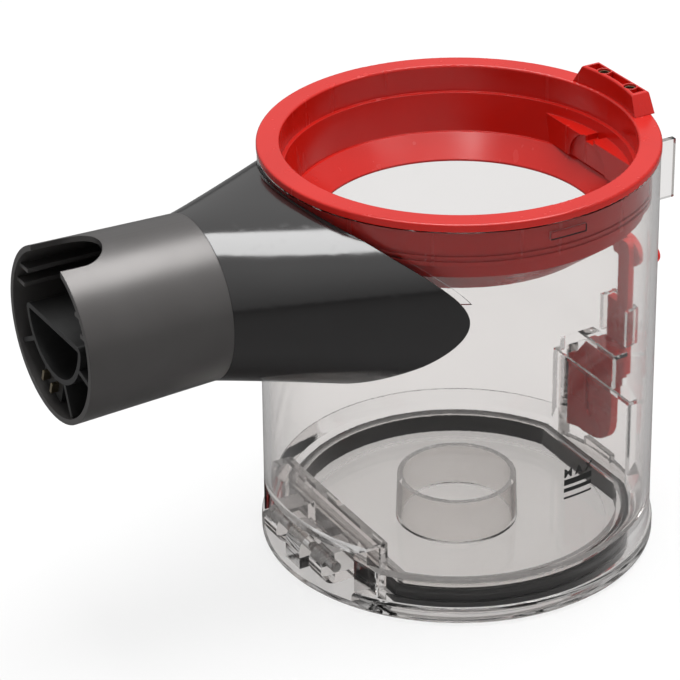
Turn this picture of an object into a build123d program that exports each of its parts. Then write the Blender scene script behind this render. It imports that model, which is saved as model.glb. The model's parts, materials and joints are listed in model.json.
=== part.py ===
from build123d import *
import math
import os

# Cyclone dust bin of a stick vacuum cleaner, in millimetres.
# The origin is on the bin's axis, at the plane the bin stands on. +Z is up, the inlet points
# along -X, the base is hinged below the inlet, and the release slider runs at the rear, +X.

# Clear bin wall, a little wider at the foot, where it thickens inwards
bin_outer_r = 55.8
bin_spread = 0.4
bin_wall = 2.0
bin_top_z = 120.4
foot_gap = 0.3
foot_thickness = 5.0
foot_bevel_bottom_z = 10.7
foot_bevel_top_z = 14.1

# Flat recess at the rear, in which the slider's plate runs. Above its ledge it only clears the plate
recess_depth = 7.0
recess_step = 0.8
recess_step_z = 33.0
recess_half_width = 18.0
recess_plate_gap = 0.5

# Hinge pocket at the inlet side
pocket_depth = 14.0
pocket_half_width = 26.0
pocket_top_z = 17.5

# Hinge of the base
hinge_inset = 5.8
hinge_z = 8.0
knuckle_r = 5.0
pin_r = 1.5
pin_running_gap = 0.05
bin_lug_inner_y = 9.5
bin_lug_width = 7.0
base_knuckle_width = 8.0
hinge_floor_gap = 0.6

# Base flap
base_overhang = 1.2
base_flange_height = 4.9
base_edge_round = 1.2
floor_step_width = 3.1
floor_top_z = 2.6
floor_step_height = 0.8
skirt_wall = 1.4
skirt_top_z = 9.7
lip_reach = 1.2
lip_height = 1.1
cup_outer_r = 17.8
cup_wall = 1.6
cup_top_z = 16.0
cup_draft_deg = 2.0

# Seal of the base, in the groove between the skirt and the flange
seal_floor_z = 2.3
seal_top_z = 8.3
seal_seat_gap = 0.1
seal_reach = 2.2
seal_end_gap = 0.1
seal_side_gap = 0.6
seal_flat_gap = 0.7
seal_lip_depth = 0.7

# Low catch at the rear of the base, behind the slider's plate
catch_gap = 0.8
catch_thickness = 2.0
catch_width = 14.0
catch_height = 2.6

# Red collar, with depths measured down from the top of its flange
flange_overhang = 0.2
flange_thickness = 2.4
flange_gap = 0.2
flange_round = 0.6
collar_wall = 4.0
collar_seat_depth = 8.0
seat_ledge = 1.2
throat_depth = 19.5
throat_draft = 1.3
throat_ledge = 0.8
mouth_depth = 25.5
mouth_lip = 0.5
cone_reach = 6.2
collar_wall_gap = 0.3
skirt_depth = 13.2
skirt_step = 1.5
skirt_foot_depth = 17.0
skirt_groove_depths = [9.9, 11.5]
skirt_groove_width = 0.8
skirt_groove_cut = 0.5
boss_inset = 6.6
boss_depth = 11.0
boss_notch_width = 4.0
boss_notch_depth = 1.6
boss_arch_r = 9.0
boss_arch_depth = 0.8

# Snap barbs of the collar and their blind pockets in the wall
snap_angles = [-90.0, 90.0]
snap_width = 10.6
snap_height = 1.8
snap_drop = 3.7
snap_depth = 1.2
snap_gap = 0.25

# Connector housing on the collar, and its two sockets
housing_bottom_length = 31.0
housing_top_length = 24.5
housing_height = 5.6
housing_depth = 4.3
housing_seat_gap = 1.0
housing_round = 0.6
housing_rim = 0.9
housing_pocket_depth = 2.2
socket_spacing = 12.8
socket_shift = -0.4
socket_inset = 1.75
socket_hole_r = 1.8
socket_boss_wall = 0.4
socket_depth = 4.4
socket_wall = 0.45
socket_gap = 0.15
socket_recess = 0.5

# Inlet: tube sleeve, fairing and inner duct share one axis
inlet_drop = 24.9
seam_reach = 27.7
seam_r = 23.2
tube_length = 42.5
tube_mouth_r = 24.4
tube_wall = 1.6
tube_notch_width = 18.0
tube_notch_depth = 15.5
rail_heights = [7.2, 12.5]
rail_reach = 3.4
rail_thickness = 1.2
rail_length = 36.0
spigot_length = 5.0
spigot_gap = 0.15

# Fairing that spreads from the tube to the clear wall and ends on it in a rounded point
fairing_end_x = 20.0
fairing_side_inset = 2.6
fairing_rise_at_end = 25.0
fairing_drop_at_end = 35.0
fairing_upper_power = 3.3
fairing_lower_power = 2.6
fairing_wall = 2.0
fairing_seat_gap = 0.1
fairing_top_gap = 0.1
fairing_sections = 4
section_points = 16
edge_start_inset = 2.8
edge_start_rise = 23.7
edge_tip_inset = 28.6
edge_tip_drop = 1.9
edge_end_inset = 8.9
edge_end_drop = 22.5
edge_slope_deg = 36.0

# Raised rim of the clear wall along the upper edge of that point
rim_width = 2.5
rim_height = 0.9
rim_low_rise = 4.5
rim_high_rise = 17.0

# Inner duct, a half disc with its flat side up
duct_tube_gap = 5.1
duct_flat_above_axis = 3.0
duct_wall = 1.5
duct_mouth_recess = 1.0
duct_corner_r = 2.0
web_angles = [-62.0, 22.0, 74.0]
web_thickness = 1.3
web_gap = 0.15
web_length = 30.0
port_gap = 0.15

# Electrical contacts in the mouth
carrier_angle = -20.0
carrier_width = 11.0
carrier_height = 6.5
carrier_length = 16.0
carrier_mouth_recess = 3.0
carrier_tube_gap = 0.2
blade_spacing = 5.0
blade_width = 1.0
blade_height = 3.2
blade_reach = 2.0
blade_gap = 0.1

# Release slider
slider_gap = 0.45
slider_plate_thickness = 2.6
slider_left_y = -8.0
slider_right_y = 15.0
slider_bottom_z = 11.0
slider_toe_width = 6.0
slider_toe_step = 1.5
slider_waist_z = 23.0
slider_shoulder_z = 35.0
slider_shoulder_step = 4.0
slider_top_z = 43.0
slider_top_width = 14.0
crank_height = 8.0
finger_width = 6.0
finger_offset = -3.2
finger_thickness = 2.8
finger_wall_gap = 1.2
finger_top_z = 78.0
finger_root_top_z = 57.0
finger_root_extra = 5.2
head_height = 8.6
head_width = 18.0
head_offset = -1.0
head_round = 1.0
head_reach = 3.4
groove_width = 4.0
groove_depth = 1.0
groove_bottom_z = 19.0
groove_top_z = 33.0
dot_r = 1.6

# Guides of the slider on the clear wall
guide_gap = 0.5
guide_thickness = 1.5
guide_lip = 1.2
plate_guide_bottom_z = 20.0
finger_guide_bottom_z = 45.5
finger_guide_top_z = 57.0

# Rear rails that steer the bin on to the machine
rear_rail_y = 15.5
rear_rail_thickness = 1.8
rear_rail_reach = 6.0
rear_rail_drop = 6.4
rear_rail_length = 18.0

# Plain span past the model for cuts that go right through
beyond = 200.0

# Faces of the clear bin, its hinge and the base
foot_inner_r = bin_outer_r - foot_thickness
recess_face_x = bin_outer_r - recess_depth
pocket_face_x = bin_outer_r - pocket_depth
hinge_x = bin_outer_r - hinge_inset
base_r = bin_outer_r + base_overhang
bin_foot_z = base_flange_height + foot_gap

# Faces of the collar
flange_bottom_z = bin_top_z + flange_gap
flange_top_z = flange_bottom_z + flange_thickness
flange_r = bin_outer_r + flange_overhang
skirt_r = bin_outer_r - bin_wall - collar_wall_gap
collar_seat_r = skirt_r - collar_wall
throat_bottom_z = flange_top_z - throat_depth
boss_chord_x = collar_seat_r - boss_inset
snap_z = bin_top_z - snap_drop
snap_pocket_r = bin_outer_r - bin_wall + snap_depth
housing_inner_r = collar_seat_r + housing_seat_gap
housing_outer_x = housing_inner_r + housing_depth

# Stations of the inlet
inlet_axis_z = bin_top_z - inlet_drop
seam_x = bin_outer_r + seam_reach
mouth_x = seam_x + tube_length
fairing_half_width_at_end = bin_outer_r - fairing_side_inset
duct_r = seam_r - tube_wall - duct_tube_gap

# Section of the base's skirt: a disc with one flat at the hinge and one at the rear
skirt_outer_r = foot_inner_r - seal_side_gap - seal_reach
skirt_front_x = pocket_face_x - bin_wall - seal_flat_gap - seal_reach
skirt_rear_x = recess_face_x - bin_wall - seal_flat_gap - seal_reach
floor_r = skirt_outer_r - skirt_wall - floor_step_width

# Planes of the slider
slider_middle_y = (slider_left_y + slider_right_y) / 2
plate_inner_x = recess_face_x + recess_step + slider_gap
plate_outer_x = plate_inner_x + slider_plate_thickness
finger_inner_x = bin_outer_r + finger_wall_gap
finger_outer_x = finger_inner_x + finger_thickness
finger_low_y = finger_offset - finger_width / 2
root_high_y = finger_offset + finger_width / 2 + finger_root_extra


def span_box(x_span, y_span, z_span):
    """Box between two limits on each axis."""
    size = [high - low for low, high in (x_span, y_span, z_span)]
    middle = [(high + low) / 2 for low, high in (x_span, y_span, z_span)]
    return Pos(*middle) * Box(*size)


def centred(middle, width):
    """Limits of a span of the given width about its middle."""
    return (middle - width / 2, middle + width / 2)


def turned(points, soft_corners=(), corner_round=0):
    """Solid of revolution about Z from an outline of (radius, height) points, some of them rounded."""
    face = make_face(Polyline(*points, close=True))
    if soft_corners:
        corners = [face.vertices().sort_by_distance((r, z, 0))[0] for r, z in soft_corners]
        face = fillet(corners, corner_round)
    return revolve(Plane.XZ * face, Axis.Z)


def skirt_prism(growth, bottom_z, top_z):
    """Upright prism over the section of the base's skirt, grown by the given amount."""
    disc = extrude(Pos(0, 0, bottom_z) * Circle(skirt_outer_r + growth), top_z - bottom_z)
    x_span = (-skirt_front_x - growth, skirt_rear_x + growth)
    return disc & span_box(x_span, (-beyond, beyond), (-beyond, beyond))


def along_x(x_start, x_end, section):
    """Prism along X from a section drawn as (y, height above the inlet axis)."""
    plane = Plane((x_start, 0, inlet_axis_z), x_dir=(0, 1, 0), z_dir=(1, 0, 0))
    return extrude(plane * section, x_end - x_start)


def wall_body(inset):
    """Endless upright solid inside the bin's outer face, pulled in by the inset."""
    foot_r = bin_outer_r + bin_spread - inset
    top_r = bin_outer_r - inset
    return turned([
        (0, -beyond),
        (foot_r, -beyond),
        (foot_r, bin_foot_z),
        (top_r, bin_top_z),
        (top_r, beyond),
        (0, beyond),
    ])


def slab(bottom_z, top_z):
    """Wide level slab, for keeping what lies between two heights."""
    return span_box((-beyond, beyond), (-beyond, beyond), (bottom_z, top_z))


def wall_recesses(growth):
    """The rear recess, the niche round the slider's top and the hinge pocket, grown by the wall."""
    recess = span_box(
        (recess_face_x - growth, beyond),
        centred(0, 2 * (recess_half_width + growth)),
        (-beyond, recess_step_z + growth),
    )
    spare = recess_plate_gap + growth
    top_z = slider_top_z + spare
    niche = Polyline(
        (slider_left_y - spare, 0),
        (slider_right_y + spare, 0),
        (slider_right_y + spare, slider_shoulder_z + slider_shoulder_step / 2 + spare),
        (slider_left_y + slider_top_width + spare, top_z),
        (slider_left_y - spare, top_z),
        close=True,
    )
    niche_plane = Plane((recess_face_x + recess_step - growth, 0, 0), x_dir=(0, 1, 0), z_dir=(1, 0, 0))
    hinge = span_box(
        (-beyond, -pocket_face_x + growth),
        centred(0, 2 * (pocket_half_width + growth)),
        (-beyond, pocket_top_z + growth),
    )
    return recess + extrude(niche_plane * make_face(niche), beyond) + hinge


def foot_ring():
    """Ring that thickens the wall inwards at the foot, with a bevel at its top."""
    return turned([
        (foot_inner_r, -beyond),
        (bin_outer_r, -beyond),
        (bin_outer_r, foot_bevel_top_z),
        (bin_outer_r - bin_wall, foot_bevel_top_z),
        (foot_inner_r, foot_bevel_bottom_z),
    ])


def fairing_section(x, inset):
    """Section of the fairing at a distance from the bin's axis, from a circle to a boxy upper half."""
    share = (seam_x - x) / (seam_x - fairing_end_x)
    half_width = seam_r + share * (fairing_half_width_at_end - seam_r) - inset
    points = []
    for step in range(section_points):
        angle = 2 * math.pi * step / section_points
        over_axis = math.sin(angle) > 0
        end_height = fairing_rise_at_end if over_axis else fairing_drop_at_end
        end_power = fairing_upper_power if over_axis else fairing_lower_power
        height = seam_r + share * (end_height - seam_r) - inset
        power = 2 + share * (end_power - 2)
        across = math.copysign(abs(math.cos(angle)) ** (2 / power), math.cos(angle))
        upward = math.copysign(abs(math.sin(angle)) ** (2 / power), math.sin(angle))
        points.append((half_width * across, height * upward))
    plane = Plane((-x, 0, inlet_axis_z), x_dir=(0, 1, 0), z_dir=(1, 0, 0))
    return plane * make_face(Spline(*points, periodic=True))


def edge_prism(shift):
    """Prism along Y inside the side view of the fairing's pointed edge, shifted along X."""
    front_x = -bin_outer_r + shift
    start = (front_x + edge_start_inset, edge_start_rise)
    tip = (front_x + edge_tip_inset, -edge_tip_drop)
    end = (front_x + edge_end_inset, -edge_end_drop)
    slope_x = math.cos(math.radians(edge_slope_deg))
    slope_z = math.sin(math.radians(edge_slope_deg))
    curve = Spline(start, tip, end, tangents=[(slope_x, -slope_z), (-slope_x, -slope_z)])
    sides = Polyline(
        end,
        (end[0] - beyond * slope_x, end[1] - beyond * slope_z),
        (start[0] - beyond * slope_x, start[1] + beyond * slope_z),
        start,
    )
    plane = Plane((0, 0, inlet_axis_z), x_dir=(1, 0, 0), z_dir=(0, -1, 0))
    return extrude(plane * make_face(Curve() + [curve, sides]), beyond, both=True)


def fairing_body(inset):
    """Solid of the fairing from the seam to its pointed edge on the clear wall."""
    step = (seam_x - fairing_end_x) / (fairing_sections - 1)
    body = loft([fairing_section(seam_x - step * place, inset) for place in range(fairing_sections)])
    return body & edge_prism(-inset)


def duct_section(growth):
    """Half disc with its flat side up and rounded corners, grown by the given amount."""
    disc = Pos(0, duct_flat_above_axis) * Circle(duct_r + growth)
    keep_height = beyond
    keep = Pos(0, duct_flat_above_axis + growth - keep_height / 2) * Rectangle(beyond, keep_height)
    half = disc & keep
    corners = half.vertices().group_by(Axis.Y)[-1]
    return fillet(corners, duct_corner_r + growth)


def tube_body(inset):
    """Solid cone of the inlet tube from the seam to the mouth."""
    length = mouth_x - seam_x
    outline = Polyline((0, 0), (tube_mouth_r - inset, 0), (seam_r - inset, length), (0, length), close=True)
    mouth_middle = (-mouth_x, 0, inlet_axis_z)
    section = Plane(mouth_middle, x_dir=(0, 0, 1), z_dir=(0, 1, 0)) * make_face(outline)
    return revolve(section, Axis(mouth_middle, (1, 0, 0)))


def place_on_mouth(angle):
    """Turn about the inlet axis, with angle 0 straight down and positive towards -Y."""
    return Pos(0, 0, inlet_axis_z) * Rot(angle, 0, 0)


def along_hinge(radius, width, middle_y):
    """Cylinder on the hinge's axis."""
    return Pos(-hinge_x, middle_y, hinge_z) * Rot(90, 0, 0) * Cylinder(radius, width)


def slider_plate_face():
    """Outline of the slider's plate, as (y, z), with a hooked toe and a sloped shoulder."""
    toe_end = (slider_right_y - slider_toe_width, slider_bottom_z + slider_toe_step)
    toe = Spline((slider_left_y, slider_waist_z), toe_end, tangents=[(0, -1), (1, 0)])
    edge = Polyline(
        toe_end,
        (slider_right_y, slider_bottom_z),
        (slider_right_y, slider_shoulder_z),
        (slider_right_y - slider_shoulder_step, slider_shoulder_z + slider_shoulder_step / 2),
        (slider_left_y + slider_top_width, slider_top_z),
        (slider_left_y, slider_top_z),
        (slider_left_y, slider_waist_z),
    )
    return make_face(Curve() + [toe, edge])


def make_clear_bin():
    outer = wall_body(0) - wall_recesses(0)
    inner = wall_body(bin_wall) - wall_recesses(bin_wall) - foot_ring()
    wall = (outer & slab(bin_foot_z, bin_top_z)) - inner

    # Raised rim along the upper edge of the fairing
    rim = edge_prism(rim_width) - edge_prism(fairing_seat_gap)
    rim &= wall_body(-rim_height) - wall_body(bin_wall / 2)
    wall += rim & slab(inlet_axis_z + rim_low_rise, inlet_axis_z + rim_high_rise)

    # Hinge lugs that stand out of the pocket's flat wall
    for side in (-1, 1):
        middle_y = side * (bin_lug_inner_y + bin_lug_width / 2)
        arm = span_box(
            (-hinge_x, -pocket_face_x + bin_wall / 2),
            centred(middle_y, bin_lug_width),
            (hinge_z - knuckle_r, hinge_z + knuckle_r),
        )
        wall += along_hinge(knuckle_r, bin_lug_width, middle_y) + arm
    wall -= along_hinge(pin_r, 2 * pocket_half_width, 0)

    # Guide beside the slider's plate and the pair beside its finger, with lips over the edges
    height = (plate_guide_bottom_z, recess_step_z)
    wall += guide(slider_right_y + guide_gap, 1, recess_face_x - bin_wall / 2, plate_outer_x, height)
    height = (finger_guide_bottom_z, finger_guide_top_z)
    for side, edge_y in ((-1, finger_low_y - guide_gap), (1, root_high_y + guide_gap)):
        wall += guide(edge_y, side, bin_outer_r - bin_wall, finger_outer_x, height)

    # Rear rails
    rail_top_z = bin_top_z - rear_rail_drop
    for side in (-1, 1):
        rail = span_box(
            (bin_outer_r - bin_wall - rear_rail_thickness, bin_outer_r + rear_rail_reach),
            centred(side * rear_rail_y, rear_rail_thickness),
            (rail_top_z - rear_rail_length, rail_top_z),
        )
        wall += rail - wall_body(bin_wall / 2)

    # Windows for the collar's barbs and the port of the inlet duct
    for angle in snap_angles:
        wall -= snap_block(angle, snap_gap, snap_pocket_r)
    port = along_x(-bin_outer_r - bin_wall, -bin_outer_r / 2, duct_section(port_gap))
    return wall - port


def guide(edge_y, side, root_x, face_x, height):
    """Rib beside the slider with a lip that laps over the slider's outer face."""
    outer_x = face_x + slider_gap + guide_thickness
    far_y = edge_y + side * guide_thickness
    lip_y = edge_y - side * (guide_lip + guide_gap)
    rib = span_box((root_x, outer_x), sorted((edge_y, far_y)), height)
    return rib + span_box((face_x + slider_gap, outer_x), sorted((far_y, lip_y)), height)


def snap_block(angle, growth, reach_r):
    """Block from the collar into the wall at the given angle, for a barb or, grown, for its pocket."""
    block = span_box(
        (skirt_r - bin_wall, reach_r),
        centred(0, snap_width + 2 * growth),
        centred(snap_z, snap_height + 2 * growth),
    )
    return Rot(0, 0, angle) * block


def make_collar():
    seat_bottom_z = flange_top_z - collar_seat_depth
    throat_top_r = collar_seat_r - seat_ledge
    throat_bottom_r = throat_top_r - throat_draft
    cone_start_r = throat_bottom_r - throat_ledge
    mouth_r = cone_start_r - cone_reach
    mouth_z = flange_top_z - mouth_depth
    lower_r = skirt_r - skirt_step
    skirt_bottom_z = flange_top_z - skirt_depth
    flange_corners = [(flange_r, flange_bottom_z), (flange_r, flange_top_z), (collar_seat_r, flange_top_z)]
    outline = flange_corners + [
        (collar_seat_r, seat_bottom_z),
        (throat_top_r, seat_bottom_z),
        (throat_bottom_r, throat_bottom_z),
        (cone_start_r, throat_bottom_z),
        (mouth_r, mouth_z),
        (mouth_r, mouth_z - mouth_lip),
        (mouth_r + mouth_lip, mouth_z - mouth_lip),
        (lower_r, flange_top_z - skirt_foot_depth),
        (lower_r, skirt_bottom_z),
        (skirt_r, skirt_bottom_z),
        (skirt_r, flange_bottom_z),
    ]
    collar = turned(outline, flange_corners, flange_round)

    # Shallow grooves round the skirt
    for depth in skirt_groove_depths:
        middle_z = flange_top_z - depth
        ring = Circle(bin_outer_r) - Circle(skirt_r - skirt_groove_cut)
        collar -= extrude(Pos(0, 0, middle_z - skirt_groove_width / 2) * ring, skirt_groove_width)

    # Flat boss across the rear of the throat, with a notch and a shallow arch
    boss_top_z = flange_top_z - boss_depth
    boss_disc = extrude(Pos(0, 0, throat_bottom_z) * Circle(collar_seat_r), boss_top_z - throat_bottom_z)
    boss = boss_disc & span_box((boss_chord_x, beyond), (-beyond, beyond), (-beyond, beyond))
    notch = span_box(
        (boss_chord_x, collar_seat_r),
        centred(0, boss_notch_width),
        (boss_top_z - boss_notch_depth, boss_top_z),
    )
    arch_plane = Plane((boss_chord_x, 0, throat_bottom_z), x_dir=(0, 1, 0), z_dir=(1, 0, 0))
    arch = extrude(arch_plane * Circle(boss_arch_r), boss_arch_depth)
    collar += boss - notch - (arch & boss_disc)

    for angle in snap_angles:
        collar += snap_block(angle, 0, snap_pocket_r - snap_gap)
    return collar


def socket_places():
    x = housing_inner_r + socket_inset
    return [(x, socket_shift + side * socket_spacing / 2) for side in (-1, 1)]


def make_connector_housing():
    half_bottom = housing_bottom_length / 2
    half_top = housing_top_length / 2
    outline = Polyline(
        (-half_bottom, 0),
        (half_bottom, 0),
        (half_top, housing_height),
        (-half_top, housing_height),
        close=True,
    )
    end_x = math.sqrt(housing_inner_r**2 - half_bottom**2)
    plane = Plane((end_x, 0, flange_top_z), x_dir=(0, 1, 0), z_dir=(1, 0, 0))
    housing = extrude(plane * make_face(outline), housing_outer_x - end_x)
    housing -= extrude(Pos(0, 0, flange_top_z) * Circle(housing_inner_r), housing_height)
    top_z = flange_top_z + housing_height
    housing = fillet(housing.edges().filter_by_position(Axis.Z, top_z, top_z), housing_round)

    # Open pocket in the top, with a rim of even width and a boss round each socket
    pocket_bottom_z = top_z - housing_pocket_depth
    pocket = span_box(
        (end_x, housing_outer_x - housing_rim),
        centred(0, housing_top_length - 2 * housing_rim),
        (pocket_bottom_z, top_z),
    )
    rim_disc = Circle(housing_inner_r + housing_rim)
    pocket -= extrude(Pos(0, 0, pocket_bottom_z) * rim_disc, housing_pocket_depth)
    for x, y in socket_places():
        boss = Circle(socket_hole_r + socket_boss_wall)
        pocket -= extrude(Pos(x, y, pocket_bottom_z) * boss, housing_pocket_depth)
        hole_bottom_z = top_z - socket_depth
        housing -= extrude(Pos(x, y, hole_bottom_z) * Circle(socket_hole_r), socket_depth)
    housing -= pocket
    return housing


def make_contact_socket(place):
    x, y = place
    outer_r = socket_hole_r - socket_gap
    bottom_z = flange_top_z + housing_height - socket_depth
    length = socket_depth - socket_recess
    tube = Circle(outer_r) - Circle(outer_r - socket_wall)
    cup = extrude(Pos(x, y, bottom_z) * tube, length)
    return cup + extrude(Pos(x, y, bottom_z) * Circle(outer_r), socket_wall)


def make_inlet_fairing():
    shell = fairing_body(0) - fairing_body(fairing_wall)
    shell -= wall_body(-fairing_seat_gap)
    shell &= slab(0, bin_top_z - fairing_top_gap)

    # Spigot ring that carries the tube sleeve, on a flange inside the shell
    spigot_outer_r = seam_r - tube_wall - spigot_gap
    spigot_bore = Circle(spigot_outer_r - fairing_wall)
    flange = Circle(seam_r - fairing_wall / 2) - spigot_bore
    spigot = Circle(spigot_outer_r) - spigot_bore
    shell += along_x(-seam_x, -seam_x + fairing_wall, flange)
    return shell + along_x(-seam_x - spigot_length, -seam_x + fairing_wall, spigot)


def make_inlet_tube():
    tube = tube_body(0) - tube_body(tube_wall)

    # Guide rails along the inside, either side of the notch
    inner_r = seam_r - tube_wall
    for height in rail_heights:
        edge_y = math.sqrt(inner_r**2 - height**2) - rail_reach
        for side in (-1, 1):
            rail = span_box(
                (-mouth_x + duct_mouth_recess, -mouth_x + rail_length),
                sorted((side * edge_y, side * tube_mouth_r)),
                centred(inlet_axis_z + height, rail_thickness),
            )
            tube += rail & tube_body(tube_wall / 2)

    # Notch with a round end in the top of the mouth
    straight = tube_notch_depth - tube_notch_width / 2
    notch_floor_z = inlet_axis_z + max(rail_heights) + rail_thickness
    slot = Pos(-mouth_x, 0) * Rectangle(2 * straight, tube_notch_width)
    slot += Pos(-mouth_x + straight, 0) * Circle(tube_notch_width / 2)
    return tube - extrude(Pos(0, 0, notch_floor_z) * slot, beyond)


def make_inlet_duct():
    x_mouth = mouth_x - duct_mouth_recess
    duct = along_x(-x_mouth, -bin_outer_r / 2, duct_section(0) - duct_section(-duct_wall))
    duct -= wall_body(bin_wall)

    # Webs that hold the duct in the tube
    for angle in web_angles:
        web = span_box(
            (-x_mouth, -x_mouth + web_length),
            centred(0, web_thickness),
            (-tube_mouth_r, 0),
        )
        web = (place_on_mouth(-angle) * web) & tube_body(tube_wall + web_gap)
        duct += web - along_x(-mouth_x, 0, duct_section(-duct_wall / 2))
    return duct


def carrier_box(x_span, width, z_span):
    """Box in the carrier's own turn about the inlet axis."""
    return place_on_mouth(-carrier_angle) * span_box(x_span, centred(0, width), z_span)


carrier_front_x = -mouth_x + carrier_mouth_recess
carrier_outer_r = seam_r - tube_wall - carrier_tube_gap


def make_contact_carrier():
    block = carrier_box(
        (carrier_front_x, carrier_front_x + carrier_length),
        carrier_width,
        (-carrier_outer_r, -carrier_outer_r + carrier_height),
    )
    block &= tube_body(tube_wall + carrier_tube_gap)
    for place in (-1, 1):
        block -= blade(place, blade_gap, carrier_length)
    return block


def blade(place, growth, length):
    """One contact blade, or, grown, the slot that holds it."""
    box = span_box(
        (carrier_front_x - blade_reach, carrier_front_x + length),
        centred(place * blade_spacing / 2, blade_width + 2 * growth),
        centred(-carrier_outer_r + carrier_height / 2, blade_height + 2 * growth),
    )
    return place_on_mouth(-carrier_angle) * box


def make_base_flap():
    disc = extrude(Circle(base_r), base_flange_height)
    disc = fillet(disc.edges().filter_by(GeomType.CIRCLE), base_edge_round)

    # Low zone under the hinge lugs
    hinge_zone_z = hinge_z - knuckle_r - hinge_floor_gap
    disc -= span_box(
        (-beyond, -pocket_face_x + bin_wall),
        centred(0, 2 * pocket_half_width),
        (hinge_zone_z, beyond),
    )

    # Groove for the seal, and the skirt that stands inside it with a lip over the seal
    disc -= skirt_prism(seal_reach + seal_side_gap / 2, seal_floor_z, beyond)
    lip_bottom_z = seal_top_z + seal_end_gap
    skirt = skirt_prism(0, seal_floor_z, skirt_top_z)
    skirt += skirt_prism(lip_reach, lip_bottom_z, lip_bottom_z + lip_height)
    flap = disc + skirt - skirt_prism(-skirt_wall, floor_top_z + floor_step_height, beyond)
    flap -= extrude(Pos(0, 0, floor_top_z) * Circle(floor_r), beyond) & skirt_prism(-skirt_wall, 0, beyond)

    # Central cup
    cup_height = cup_top_z - floor_top_z
    cup = Circle(cup_outer_r)
    hollow = Circle(cup_outer_r - cup_wall)
    flap += extrude(Pos(0, 0, floor_top_z) * cup, cup_height, taper=cup_draft_deg)
    flap -= extrude(Pos(0, 0, floor_top_z) * hollow, cup_height, taper=cup_draft_deg)

    # Knuckle round the hinge pin
    foot = span_box(
        centred(-hinge_x, 2 * knuckle_r),
        centred(0, base_knuckle_width),
        (hinge_zone_z / 2, hinge_z),
    )
    flap += along_hinge(knuckle_r, base_knuckle_width, 0) + foot
    flap -= along_hinge(pin_r + pin_running_gap, 2 * pocket_half_width, 0)

    # Low catch behind the slider's plate
    catch_x = plate_outer_x + catch_gap
    catch = span_box(
        (catch_x, catch_x + catch_thickness),
        centred(slider_middle_y, catch_width),
        (base_flange_height / 2, base_flange_height + catch_height),
    )
    return flap + catch


def make_base_seal():
    bottom_z = seal_floor_z + seal_end_gap
    third = (seal_top_z - bottom_z) / 3
    body = skirt_prism(seal_reach, bottom_z, seal_top_z)
    waist = skirt_prism(seal_reach - seal_lip_depth, bottom_z, seal_top_z)
    groove = (body - waist) & slab(bottom_z + third, seal_top_z - third)
    return body - groove - skirt_prism(seal_seat_gap, bottom_z, seal_top_z)


def make_hinge_pin():
    return along_hinge(pin_r, 2 * (bin_lug_inner_y + bin_lug_width), 0)


def make_release_slider():
    plate_plane = Plane((plate_inner_x, 0, 0), x_dir=(0, 1, 0), z_dir=(1, 0, 0))
    plate = extrude(plate_plane * slider_plate_face(), slider_plate_thickness)

    # Groove and dot in the face that shows through the clear wall
    groove = SlotOverall(groove_top_z - groove_bottom_z, groove_width, rotation=90)
    groove_middle = (slider_middle_y, (groove_top_z + groove_bottom_z) / 2)
    plate -= extrude(plate_plane * (Pos(*groove_middle) * groove), groove_depth)
    dot_place = (slider_middle_y, groove_top_z - groove_width / 2)
    plate += extrude(plate_plane * (Pos(*dot_place) * Circle(dot_r)), groove_depth)

    # Crank out of the recess, stiff root, finger and thumb head
    root_across = (finger_low_y, root_high_y)
    finger_through = (finger_inner_x, finger_outer_x)
    crank_bottom_z = slider_top_z - crank_height
    crank = span_box((plate_inner_x, finger_outer_x), root_across, (crank_bottom_z, slider_top_z))
    root = span_box(finger_through, root_across, (crank_bottom_z, finger_root_top_z))
    finger = span_box(finger_through, centred(finger_offset, finger_width), (slider_top_z, finger_top_z))
    finger = fillet(finger.edges().filter_by(Axis.X).group_by(Axis.Z)[-1], finger_width / 2 - slider_gap)
    head_plane = Plane((finger_outer_x, 0, 0), x_dir=(0, 1, 0), z_dir=(1, 0, 0))
    oval = Pos(head_offset, finger_top_z - head_height / 2) * Ellipse(head_width / 2, head_height / 2)
    head = extrude(head_plane * oval, head_reach)
    head = fillet(head.edges().group_by(Axis.X)[-1], head_round)
    return plate + crank + root + finger + head


nodes = {
    "clear_bin": make_clear_bin(),
    "collar": make_collar(),
    "connector_housing": make_connector_housing(),
    "inlet_fairing": make_inlet_fairing(),
    "inlet_tube": make_inlet_tube(),
    "inlet_duct": make_inlet_duct(),
    "contact_carrier": make_contact_carrier(),
    "hinge_pin": make_hinge_pin(),
    "base_flap": make_base_flap(),
    "base_seal": make_base_seal(),
    "release_slider": make_release_slider(),
}
for number, place in enumerate(socket_places(), start=1):
    nodes[f"contact_socket_{number}"] = make_contact_socket(place)
for number, place in enumerate((-1, 1), start=1):
    nodes[f"contact_blade_{number}"] = blade(place, 0, carrier_length - blade_reach)

os.makedirs("parts", exist_ok=True)
for name, solid in nodes.items():
    solid.label = name
    export_step(solid, f"parts/{name}.step")
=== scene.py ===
# %% [markdown]
# # A clear cyclone dust bin
#
# The bin of a stick vacuum cleaner: a clear round wall under a red collar, a dark inlet that grows
# out of one side, a hinged clear base and a red release slider at the rear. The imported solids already
# have every shape, place and size. They could be modelled again here, but then they would no longer
# match the solids that move and collide, so this lesson only gives them finishes, soft edges and print.

# %% Load the frame
import json
import math

import bpy
from mathutils import Matrix, Vector


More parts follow.
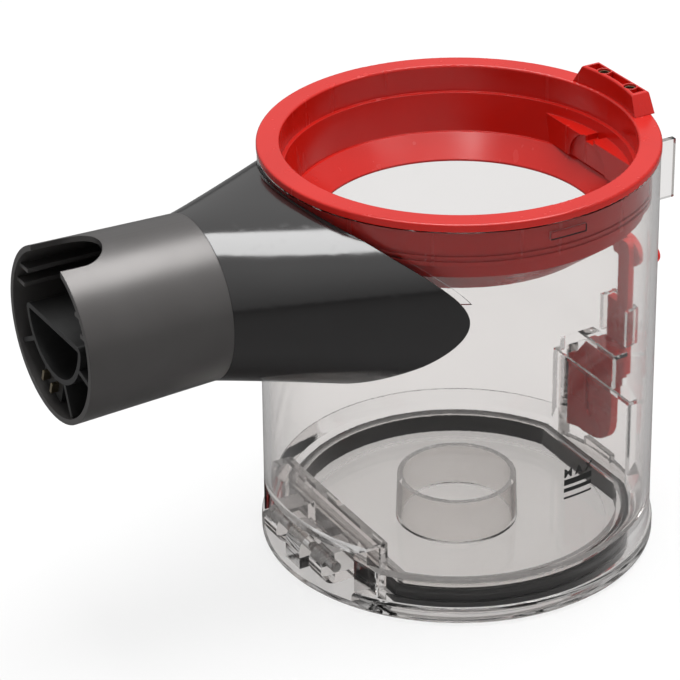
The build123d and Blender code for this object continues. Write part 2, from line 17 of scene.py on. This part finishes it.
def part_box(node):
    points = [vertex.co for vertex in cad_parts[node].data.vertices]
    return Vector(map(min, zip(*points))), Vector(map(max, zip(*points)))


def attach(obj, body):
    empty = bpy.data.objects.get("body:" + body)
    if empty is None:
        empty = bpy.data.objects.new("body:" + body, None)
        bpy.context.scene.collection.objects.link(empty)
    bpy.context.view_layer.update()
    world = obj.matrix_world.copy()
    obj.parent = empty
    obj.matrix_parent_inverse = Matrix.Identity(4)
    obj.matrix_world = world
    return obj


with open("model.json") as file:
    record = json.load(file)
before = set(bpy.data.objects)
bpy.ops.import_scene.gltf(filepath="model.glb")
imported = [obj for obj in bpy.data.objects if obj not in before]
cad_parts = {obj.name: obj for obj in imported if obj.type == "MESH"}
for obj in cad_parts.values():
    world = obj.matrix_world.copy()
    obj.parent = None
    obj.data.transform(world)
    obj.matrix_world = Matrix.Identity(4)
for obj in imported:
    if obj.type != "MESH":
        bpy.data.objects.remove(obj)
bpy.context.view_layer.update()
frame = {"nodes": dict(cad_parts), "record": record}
nodes = frame["nodes"]
scene = bpy.context.scene
MM = 0.001
print("nodes:", sorted(nodes))

# %% [markdown]
# ## The camera
#
# The camera stands where the photographer stood. It could be placed by eye, but the round rims of the
# collar and the base show as ellipses, and those fix its height, distance and roll exactly. The middle
# of the bin is right of the picture's centre, so the camera is turned to put that point on its pixel,
# with no lens shift.

# %% Camera
PICTURE_SIDE = 680
SENSOR_MM = 36.0
FOCAL_PIXELS = 3184.06
CLIP_START = 0.01
AIM_POINT = Vector((0, 0, 0.06152))
AIM_PIXEL = (457.47, 333.26)
CAMERA_DISTANCE = 0.90696
CAMERA_ELEVATION = math.radians(27.91)
CAMERA_ROLL = math.radians(-0.346)
INLET_TURN = math.radians(32.0)


def make_camera():
    data = bpy.data.cameras.new("photo_camera")
    data.sensor_width = SENSOR_MM
    data.lens = FOCAL_PIXELS / PICTURE_SIDE * SENSOR_MM
    data.clip_start = CLIP_START
    camera = bpy.data.objects.new("photo_camera", data)
    scene.collection.objects.link(camera)
    back = Vector((0, -math.cos(CAMERA_ELEVATION), math.sin(CAMERA_ELEVATION)))
    right = Vector((1, 0, 0))
    look = Matrix((right, back.cross(right), back))
    across, down = [(pixel - PICTURE_SIDE / 2) / FOCAL_PIXELS for pixel in AIM_PIXEL]
    aim = Vector((0, 0, -1)).rotation_difference(Vector((across, -down, -1)))
    turn = Matrix.Rotation(INLET_TURN, 3, "Z")
    world_to_camera = aim.to_matrix() @ Matrix.Rotation(CAMERA_ROLL, 3, "Z") @ look @ turn
    place = turn.transposed() @ (AIM_POINT + back * CAMERA_DISTANCE)
    camera.matrix_world = Matrix.Translation(place) @ world_to_camera.transposed().to_4x4()
    scene.camera = camera
    print("camera at", [round(v, 3) for v in place])


make_camera()

# %% [markdown]
# ## Node helpers
#
# The studio, the finishes and the fill mark are all built from nodes. Each node could be made and
# linked line by line, but three small helpers for sums, spans and blends keep the trees short to read.

# %% Node helpers


def add_math(tree, operation, first, second):
    """Math node fed by sockets or plain values."""
    node = tree.nodes.new("ShaderNodeMath")
    node.operation = operation
    for socket, value in zip(node.inputs, (first, second)):
        if isinstance(value, (int, float)):
            socket.default_value = value
        else:
            tree.links.new(value, socket)
    return node.outputs[0]


def add_map(tree, value, from_span, to_span):
    """Map Range node from one span to another."""
    node = tree.nodes.new("ShaderNodeMapRange")
    for name, number in zip(("From Min", "From Max", "To Min", "To Max"), (*from_span, *to_span)):
        node.inputs[name].default_value = number
    tree.links.new(value, node.inputs["Value"])
    return node.outputs[0]


def add_mix(tree, share, low, high):
    """Value that goes from low to high with the share."""
    rise = add_math(tree, "SUBTRACT", high, low)
    return add_math(tree, "ADD", low, add_math(tree, "MULTIPLY", share, rise))


print("helpers:", [helper.__name__ for helper in (add_math, add_map, add_mix)])

# %% [markdown]
# ## The surround
#
# Clear plastic only shows what stands around it, so the surround matters more than the lamps. A picture
# of a studio could light it, but a few nodes are enough and need no file. The surround is full white
# where the camera sees it, straight or through the plastic. Reflections see it fade to grey towards the
# floor, which keeps the dark inlet dark below its long highlight, and it lights the object more weakly.
# Light turns round many times inside the clear edges, so the bounces are raised, or they go black.

# %% Surround
LIGHT_BOUNCES = 24
SURROUND_LIGHT = 0.42
REFLECTED_LOW = 0.2
REFLECTED_HIGH = 0.8
REFLECTED_SPAN = (-0.3, 0.8)

scene.view_settings.view_transform = "Standard"
scene.cycles.max_bounces = LIGHT_BOUNCES
scene.cycles.transmission_bounces = LIGHT_BOUNCES
scene.cycles.glossy_bounces = LIGHT_BOUNCES


def make_surround():
    world = bpy.data.worlds.new("studio")
    scene.world = world
    world.use_nodes = True
    tree = world.node_tree
    background = tree.nodes["Background"]
    background.inputs["Color"].default_value = (1, 1, 1, 1)
    path = tree.nodes.new("ShaderNodeLightPath")
    place = tree.nodes.new("ShaderNodeTexCoord")
    split = tree.nodes.new("ShaderNodeSeparateXYZ")
    tree.links.new(place.outputs["Generated"], split.inputs[0])
    reflected = add_map(tree, split.outputs["Z"], REFLECTED_SPAN, (REFLECTED_LOW, REFLECTED_HIGH))
    seen = add_math(tree, "MAXIMUM", path.outputs["Is Camera Ray"], path.outputs["Is Transmission Ray"])
    strength = add_map(tree, seen, (0, 1), (SURROUND_LIGHT, 1))
    strength = add_mix(tree, path.outputs["Is Glossy Ray"], strength, reflected)
    tree.links.new(strength, background.inputs["Strength"])
    print("surround:", SURROUND_LIGHT, "as light,", (REFLECTED_LOW, REFLECTED_HIGH), "in reflections")


make_surround()

# %% [markdown]
# ## The floor and the lamp
#
# The floor is white paper just under the base. Reflections see it darker than it is, or it would veil
# the red behind the clear wall. A plain opaque sheet would hide the base when it swings down, so the
# camera sees mostly through the paper, and the share that is left keeps a soft shadow of the object.
# One large softbox overhead draws the long highlight on the inlet.

# %% Floor and lamp
FLOOR_HALF = 3.0
FLOOR_DROP = 0.6 * MM
FLOOR_LIFT_THROUGH = 0.6
FLOOR_LIFT_REFLECTED = 0.25
FLOOR_WHITE = 0.97
FLOOR_REFLECTED = 0.2
FLOOR_SEE_THROUGH = 0.8
PAPER_ROUGHNESS = 0.9
PAPER_SPECULAR = 0.1
SOFTBOX_PLACE = (0.147, 0.024, 1.115)
SOFTBOX_TURN = math.radians(82.7)
SOFTBOX_SIZE = (0.705, 0.91)
SOFTBOX_WATTS = 14.0


def make_paper():
    """White paper that is darker in reflections and mostly see-through to the camera."""
    material = bpy.data.materials.new("floor_paper")
    material.use_nodes = True
    tree = material.node_tree
    shader = tree.nodes["Principled BSDF"]
    shader.inputs["Roughness"].default_value = PAPER_ROUGHNESS
    shader.inputs["Specular IOR Level"].default_value = PAPER_SPECULAR
    shader.inputs["Emission Color"].default_value = (1, 1, 1, 1)
    path = tree.nodes.new("ShaderNodeLightPath")
    tone = add_map(tree, path.outputs["Is Glossy Ray"], (0, 1), (FLOOR_WHITE, FLOOR_REFLECTED))
    tree.links.new(tone, shader.inputs["Base Color"])
    lifts = (FLOOR_LIFT_THROUGH, FLOOR_LIFT_REFLECTED)
    lift = add_map(tree, path.outputs["Glossy Depth"], (0, 1), lifts)
    through = add_math(tree, "MULTIPLY", path.outputs["Is Transmission Ray"], lift)
    tree.links.new(through, shader.inputs["Emission Strength"])
    clear = tree.nodes.new("ShaderNodeBsdfTransparent")
    blend = tree.nodes.new("ShaderNodeMixShader")
    share = add_math(tree, "MULTIPLY", path.outputs["Is Camera Ray"], FLOOR_SEE_THROUGH)
    tree.links.new(share, blend.inputs["Fac"])
    tree.links.new(shader.outputs["BSDF"], blend.inputs[1])
    tree.links.new(clear.outputs["BSDF"], blend.inputs[2])
    tree.links.new(blend.outputs[0], tree.nodes["Material Output"].inputs["Surface"])
    return material


def make_floor():
    mesh = bpy.data.meshes.new("floor")
    signs = ((-1, -1), (1, -1), (1, 1), (-1, 1))
    corners = [(x * FLOOR_HALF, y * FLOOR_HALF, -FLOOR_DROP) for x, y in signs]
    mesh.from_pydata(corners, [], [(0, 1, 2, 3)])
    mesh.materials.append(make_paper())
    floor = bpy.data.objects.new("floor", mesh)
    scene.collection.objects.link(floor)


def add_softbox():
    """Level softbox that shines down, with its first side turned about the vertical."""
    data = bpy.data.lights.new("top_softbox", "AREA")
    data.shape = "RECTANGLE"
    data.size, data.size_y = SOFTBOX_SIZE
    data.energy = SOFTBOX_WATTS
    lamp = bpy.data.objects.new("top_softbox", data)
    scene.collection.objects.link(lamp)
    lamp.matrix_world = Matrix.Translation(SOFTBOX_PLACE) @ Matrix.Rotation(SOFTBOX_TURN, 4, "Z")
    print("softbox:", SOFTBOX_SIZE, "m,", SOFTBOX_WATTS, "W")


make_floor()
add_softbox()

# %% [markdown]
# ## Shared finishes
#
# Three small node groups serve every material. One gives moulded plastic its uneven sheen and faint
# grain, one adds the hairlines that handling leaves, and one lets a colour drift a little, as real
# pigment does. Painted pictures could do the same for one piece, but a group serves all of them at any
# size. Each reads object coordinates, so a finish moves with its part.

# %% Finish groups
FLOAT = "NodeSocketFloat"
COLOUR = "NodeSocketColor"
CLOUD_SCALE = 70.0
CLOUD_SPAN = (0.3, 0.7)
FLOW_SCALE = 45.0
FLOW_SHARE = 0.6
GRAIN_SCALE = 2500.0
HAIRLINE_SCALE = 260.0
HAIRLINE_STRETCH = (1, 1, 0.03)
HAIRLINE_TURNS = ((0.3, 0.2, 0.5), (0.9, 2.1, 1.4))
HAIRLINE_SPAN = (0.68, 0.74)
TONE_SCALE = 40.0
TONE_SPAN = (0.35, 0.65)


def new_group(name, inputs, outputs):
    """Shader group with its float and colour sockets, and its two end nodes."""
    tree = bpy.data.node_groups.new(name, "ShaderNodeTree")
    for label, kind, value in inputs:
        socket = tree.interface.new_socket(label, in_out="INPUT", socket_type=kind)
        socket.default_value = value
    for label, kind in outputs:
        tree.interface.new_socket(label, in_out="OUTPUT", socket_type=kind)
    return tree, tree.nodes.new("NodeGroupInput"), tree.nodes.new("NodeGroupOutput")


def add_noise(tree, scale, detail, stretch=(1, 1, 1), turn=(0, 0, 0)):
    """Noise over object coordinates, stretched and turned."""
    place = tree.nodes.new("ShaderNodeTexCoord")
    mapping = tree.nodes.new("ShaderNodeMapping")
    mapping.inputs["Scale"].default_value = stretch
    mapping.inputs["Rotation"].default_value = turn
    noise = tree.nodes.new("ShaderNodeTexNoise")
    noise.inputs["Detail"].default_value = detail
    tree.links.new(place.outputs["Object"], mapping.inputs["Vector"])
    tree.links.new(mapping.outputs[0], noise.inputs["Vector"])
    if isinstance(scale, (int, float)):
        noise.inputs["Scale"].default_value = scale
    else:
        tree.links.new(scale, noise.inputs["Scale"])
    return noise.outputs["Fac"]


def make_moulded_skin():
    inputs = [("Roughness", FLOAT, 0.3), ("Spread", FLOAT, 0.05), ("Grain", FLOAT, GRAIN_SCALE)]
    tree, given, result = new_group("moulded_skin", inputs, [("Roughness", FLOAT), ("Height", FLOAT)])
    cloud = add_map(tree, add_noise(tree, CLOUD_SCALE, detail=3.0), CLOUD_SPAN, (-1, 1))
    spread = add_math(tree, "MULTIPLY", cloud, given.outputs["Spread"])
    tree.links.new(add_math(tree, "ADD", given.outputs["Roughness"], spread), result.inputs["Roughness"])
    grain = add_noise(tree, given.outputs["Grain"], detail=2.0)
    flow = add_noise(tree, FLOW_SCALE, detail=1.0)
    tree.links.new(add_mix(tree, FLOW_SHARE, grain, flow), result.inputs["Height"])
    return tree


def make_hairlines():
    inputs = [("Roughness", FLOAT, 0.3), ("Amount", FLOAT, 0.1)]
    tree, given, result = new_group("hairlines", inputs, [("Roughness", FLOAT)])
    lines = 0.0
    for turn in HAIRLINE_TURNS:
        line = add_noise(tree, HAIRLINE_SCALE, detail=1.0, stretch=HAIRLINE_STRETCH, turn=turn)
        lines = add_math(tree, "MAXIMUM", add_map(tree, line, HAIRLINE_SPAN, (0, 1)), lines)
    extra = add_math(tree, "MULTIPLY", lines, given.outputs["Amount"])
    tree.links.new(add_math(tree, "ADD", given.outputs["Roughness"], extra), result.inputs["Roughness"])
    return tree


def make_tone_drift():
    white = (1, 1, 1, 1)
    inputs = [("First", COLOUR, white), ("Second", COLOUR, white), ("Scale", FLOAT, TONE_SCALE)]
    tree, given, result = new_group("tone_drift", inputs, [("Colour", COLOUR)])
    mix = tree.nodes.new("ShaderNodeMix")
    mix.data_type = "RGBA"
    sockets = {socket.identifier: socket for socket in (*mix.inputs, *mix.outputs)}
    share = add_map(tree, add_noise(tree, given.outputs["Scale"], detail=4.0), TONE_SPAN, (0, 1))
    tree.links.new(share, sockets["Factor_Float"])
    tree.links.new(given.outputs["First"], sockets["A_Color"])
    tree.links.new(given.outputs["Second"], sockets["B_Color"])
    tree.links.new(sockets["Result_Color"], result.inputs["Colour"])
    return tree


groups = {tree.name: tree for tree in (make_moulded_skin(), make_hairlines(), make_tone_drift())}
print("groups:", sorted(groups))

# %% [markdown]
# ## From groups to a finish
#
# A finish is two close colours, a sheen, hairlines, a fine bump and a soft edge. Moulded edges are never
# quite sharp, and a Bevel modifier could round them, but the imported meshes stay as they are. So the
# opaque finishes round the normal in the shading, and edges catch the light as real ones do.

# %% Finish maker
EDGE_SAMPLES = 4


def use_group(tree, name, **inputs):
    """Group node with its inputs set from values or linked from sockets."""
    node = tree.nodes.new("ShaderNodeGroup")
    node.node_tree = groups[name]
    for label, value in inputs.items():
        if isinstance(value, bpy.types.NodeSocket):
            tree.links.new(value, node.inputs[label])
        else:
            node.inputs[label].default_value = value
    return node


def make_finish(name, colours, roughness, spread, hairlines, bump, tone_scale=TONE_SCALE,
                grain=GRAIN_SCALE, edge=0.0, **constants):
    """Material from two close colours, a sheen, hairlines, a bump depth and a soft edge."""
    material = bpy.data.materials.new(name)
    material.use_nodes = True
    tree = material.node_tree
    shader = tree.nodes["Principled BSDF"]
    for label, value in constants.items():
        shader.inputs[label.replace("_", " ")].default_value = value
    first, second = [(*colour, 1) for colour in colours]
    tone = use_group(tree, "tone_drift", First=first, Second=second, Scale=tone_scale)
    tree.links.new(tone.outputs["Colour"], shader.inputs["Base Color"])
    skin = use_group(tree, "moulded_skin", Roughness=roughness, Spread=spread, Grain=grain)
    lines = use_group(tree, "hairlines", Roughness=skin.outputs["Roughness"], Amount=hairlines)
    tree.links.new(lines.outputs["Roughness"], shader.inputs["Roughness"])
    relief = tree.nodes.new("ShaderNodeBump")
    relief.inputs["Strength"].default_value = 1.0
    relief.inputs["Distance"].default_value = bump
    tree.links.new(skin.outputs["Height"], relief.inputs["Height"])
    if edge:
        soft = tree.nodes.new("ShaderNodeBevel")
        soft.samples = EDGE_SAMPLES
        soft.inputs["Radius"].default_value = edge
        tree.links.new(soft.outputs[0], relief.inputs["Normal"])
    tree.links.new(relief.outputs[0], shader.inputs["Normal"])
    return material


print("groups in a finish:", len(groups))

# %% [markdown]
# ## The materials
#
# Every slot of the record gets one finish. The clear plastic keeps plain transmission, with a warm tint
# that two walls deepen to a soft grey. Two pieces have a finish of their own in place of their slot's:
# the base is a darker copy of the clear plastic, a painted shade that stands in for the shadow beneath
# it, and the slider is a brighter copy of the red, a painted light that makes up for the clear wall in
# front of it dulling it and for the weaker light at the rear where it stands.

# %% Materials
CLEAR = dict(
    roughness=0.01, spread=0.006, hairlines=0.03, bump=0.004 * MM, Transmission_Weight=1.0, IOR=1.35)
RED = dict(spread=0.04, hairlines=0.1, bump=0.006 * MM, edge=0.35 * MM)
METAL = dict(spread=0.06, hairlines=0.1, bump=0.008 * MM, tone_scale=600.0, edge=0.1 * MM, Metallic=1.0)
LOOKS = {
    "clear_plastic": dict(CLEAR, colours=[(0.925, 0.908, 0.898), (0.935, 0.918, 0.908)]),
    # Painted shade: the base's clear plastic is darker, standing in for the shadow beneath it.
    "clear_base_painted_shade": dict(CLEAR, colours=[(0.815, 0.798, 0.785), (0.825, 0.808, 0.795)]),
    "red_plastic": dict(RED, colours=[(0.51, 0.0085, 0.004), (0.55, 0.01, 0.005)], roughness=0.22),
    # Painted light: the slider's red is brighter than the collar's, making up for its dim place behind
    # the clear wall.
    "red_slider_painted_light": dict(RED, colours=[(0.66, 0.014, 0.008), (0.72, 0.017, 0.01)], roughness=0.26),
    "dark_gloss_plastic": dict(
        colours=[(0.006, 0.005, 0.005), (0.008, 0.007, 0.007)], roughness=0.13, spread=0.02,
        hairlines=0.06, bump=0.004 * MM, edge=0.3 * MM, Specular_IOR_Level=1.0),
    "dark_satin_plastic": dict(
        colours=[(0.1, 0.095, 0.093), (0.11, 0.105, 0.103)], roughness=0.35, spread=0.02,
        hairlines=0.03, bump=0.006 * MM, tone_scale=60.0, grain=4500.0, edge=0.3 * MM, Metallic=0.6),
    "black_plastic": dict(
        colours=[(0.012, 0.012, 0.012), (0.018, 0.018, 0.018)], roughness=0.42, spread=0.06,
        hairlines=0.08, bump=0.03 * MM, edge=0.2 * MM),
    "black_rubber": dict(
        colours=[(0.006, 0.006, 0.006), (0.009, 0.009, 0.009)], roughness=0.38, spread=0.06,
        hairlines=0.0, bump=0.02 * MM, edge=0.2 * MM),
    "pin_steel": dict(METAL, colours=[(0.62, 0.61, 0.6), (0.7, 0.69, 0.68)], roughness=0.24),
    "contact_brass": dict(METAL, colours=[(0.3, 0.25, 0.16), (0.36, 0.3, 0.2)], roughness=0.32),
}
# Both own finishes are painted light and shade: darker on the base, brighter on the slider.
OWN_FINISHES = {"base_flap": "clear_base_painted_shade", "release_slider": "red_slider_painted_light"}

finishes = {name: make_finish(name, **look) for name, look in LOOKS.items()}
for part in frame["record"]["subparts"]:
    node = nodes[part["node"]]
    node.data.materials.clear()
    finish = OWN_FINISHES.get(part["node"], part["material_slot"])
    node.data.materials.append(finishes[finish])
print("finishes:", sorted(finishes))

# %% [markdown]
# ## The bars of the fill mark
#
# Three printed bars on the clear wall say how full the bin may get, each thinner than the one above. A
# picture on the wall could show them, but thin meshes stay crisp and go into the export. Geometry Nodes
# lays one grid per bar, thins it by its index, and bends the row round the wall.

# %% Bars of the fill mark
MARK_ANGLE = math.radians(-85.5)
MARK_WIDTH = 9.5 * MM
MARK_BARS = 3
MARK_TOP_Z = 40.5 * MM
MARK_PITCH = 2.45 * MM
MARK_FIRST = 1.85 * MM
MARK_STEP = 0.6 * MM
MARK_LIFT = 0.03 * MM
MARK_COLUMNS = 13
INK = dict(
    colours=[(0.006, 0.006, 0.006), (0.01, 0.01, 0.01)], roughness=0.45, spread=0.05,
    hairlines=0.0, bump=0.004 * MM)


def wall_radius(z):
    """Outer radius of the clear wall at a height, from its foot's and its top's widths."""
    (_, _, low_z), (_, foot_r, high_z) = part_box("clear_bin")
    top_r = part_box("collar")[1][1]
    return foot_r + (top_r - foot_r) * (z - low_z) / (high_z - low_z)


def lay_bars(tree, given):
    """Flat row of bars downwards from the origin, each thinner than the one above."""
    index = tree.nodes.new("GeometryNodeInputIndex").outputs[0]
    points = tree.nodes.new("GeometryNodePoints")
    tree.links.new(given.outputs["Bars"], points.inputs["Count"])
    place = tree.nodes.new("ShaderNodeCombineXYZ")
    drop = add_math(tree, "MULTIPLY", index, given.outputs["Pitch"])
    tree.links.new(add_math(tree, "SUBTRACT", 0.0, drop), place.inputs["Y"])
    tree.links.new(place.outputs[0], points.inputs["Position"])
    bar = tree.nodes.new("GeometryNodeMeshGrid")
    tree.links.new(given.outputs["Width"], bar.inputs["Size X"])
    bar.inputs["Size Y"].default_value = 1.0
    bar.inputs["Vertices X"].default_value = MARK_COLUMNS
    bar.inputs["Vertices Y"].default_value = 2
    size = tree.nodes.new("ShaderNodeCombineXYZ")
    size.inputs["X"].default_value = 1.0
    size.inputs["Z"].default_value = 1.0
    loss = add_math(tree, "MULTIPLY", index, given.outputs["Step"])
    tree.links.new(add_math(tree, "SUBTRACT", given.outputs["First"], loss), size.inputs["Y"])
    rows = tree.nodes.new("GeometryNodeInstanceOnPoints")
    tree.links.new(points.outputs[0], rows.inputs["Points"])
    tree.links.new(bar.outputs["Mesh"], rows.inputs["Instance"])
    tree.links.new(size.outputs[0], rows.inputs["Scale"])
    whole = tree.nodes.new("GeometryNodeRealizeInstances")
    tree.links.new(rows.outputs[0], whole.inputs[0])
    return whole.outputs[0]


def bend_round(tree, given, flat):
    """Flat geometry bent round an upright cylinder and lifted to its height."""
    position = tree.nodes.new("GeometryNodeInputPosition")
    split = tree.nodes.new("ShaderNodeSeparateXYZ")
    tree.links.new(position.outputs[0], split.inputs[0])
    turn = add_math(tree, "DIVIDE", split.outputs["X"], given.outputs["Radius"])
    angle = add_math(tree, "ADD", turn, given.outputs["Angle"])
    bent = tree.nodes.new("ShaderNodeCombineXYZ")
    for axis, wave in (("X", "COSINE"), ("Y", "SINE")):
        share = add_math(tree, wave, angle, 0.0)
        tree.links.new(add_math(tree, "MULTIPLY", share, given.outputs["Radius"]), bent.inputs[axis])
    tree.links.new(add_math(tree, "ADD", split.outputs["Y"], given.outputs["Top"]), bent.inputs["Z"])
    wrap = tree.nodes.new("GeometryNodeSetPosition")
    tree.links.new(flat, wrap.inputs["Geometry"])
    tree.links.new(bent.outputs[0], wrap.inputs["Position"])
    return wrap.outputs[0]


def make_mark_tree(sizes, material):
    """Row of bars round an upright cylinder, with a named input for each size."""
    tree = bpy.data.node_groups.new("fill_mark", "GeometryNodeTree")
    for label, value in sizes.items():
        kind = "NodeSocketInt" if isinstance(value, int) else FLOAT
        tree.interface.new_socket(label, in_out="INPUT", socket_type=kind)
    tree.interface.new_socket("Geometry", in_out="OUTPUT", socket_type="NodeSocketGeometry")
    given = tree.nodes.new("NodeGroupInput")
    result = tree.nodes.new("NodeGroupOutput")
    ink = tree.nodes.new("GeometryNodeSetMaterial")
    ink.inputs["Material"].default_value = material
    tree.links.new(bend_round(tree, given, lay_bars(tree, given)), ink.inputs["Geometry"])
    tree.links.new(ink.outputs[0], result.inputs[0])
    return tree


def settle(name, source):
    """Plain mesh object from what a source object shows, in place of the source."""
    depsgraph = bpy.context.evaluated_depsgraph_get()
    mesh = bpy.data.meshes.new_from_object(source.evaluated_get(depsgraph))
    mesh.name = name
    bpy.data.objects.remove(source)
    piece = bpy.data.objects.new(name, mesh)
    scene.collection.objects.link(piece)
    return piece


def make_bars(material):
    sizes = {
        "Bars": MARK_BARS, "Width": MARK_WIDTH, "Pitch": MARK_PITCH, "First": MARK_FIRST,
        "Step": MARK_STEP, "Radius": wall_radius(MARK_TOP_Z) + MARK_LIFT, "Angle": MARK_ANGLE,
        "Top": MARK_TOP_Z,
    }
    carrier = bpy.data.objects.new("mark_rows", bpy.data.meshes.new("mark_rows"))
    scene.collection.objects.link(carrier)
    tree = make_mark_tree(sizes, material)
    modifier = carrier.modifiers.new("fill_mark", "NODES")
    modifier.node_group = tree
    for label, value in sizes.items():
        modifier[tree.interface.items_tree[label].identifier] = value
    carrier.update_tag()
    return settle("fill_bars", carrier)


mark_ink = make_finish("mark_ink", **INK)
fill_bars = make_bars(mark_ink)
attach(fill_bars, "bin")
print(fill_bars.name, len(fill_bars.data.polygons), "faces")

# %% [markdown]
# ## The letters of the fill mark
#
# Small bold capitals stand above the top bar. Blender's own text gives their outlines, which become a
# plain mesh, and each point is then wrapped round the wall. A Curve modifier could bend them too, but
# one line of arithmetic does it without a guide curve.

# %% Letters of the fill mark
LETTERS = "MAX"
LETTER_SIZE = 3.6 * MM
LETTER_GAP = 1.55
LETTER_BASE_Z = 42.2 * MM
LETTER_BOLD = 0.12 * MM


def make_letters(material):
    data = bpy.data.curves.new("mark_letters", "FONT")
    data.body = LETTERS
    data.size = LETTER_SIZE
    data.offset = LETTER_BOLD
    data.space_character = LETTER_GAP
    data.align_x = "CENTER"
    source = bpy.data.objects.new("mark_letters", data)
    scene.collection.objects.link(source)
    piece = settle("fill_letters", source)
    radius = wall_radius(LETTER_BASE_Z) + MARK_LIFT
    for vertex in piece.data.vertices:
        angle = MARK_ANGLE + vertex.co.x / radius
        vertex.co = (radius * math.cos(angle), radius * math.sin(angle), LETTER_BASE_Z + vertex.co.y)
    piece.data.materials.clear()
    piece.data.materials.append(material)
    return piece


fill_letters = make_letters(mark_ink)
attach(fill_letters, "bin")
print(fill_letters.name, len(fill_letters.data.polygons), "faces")
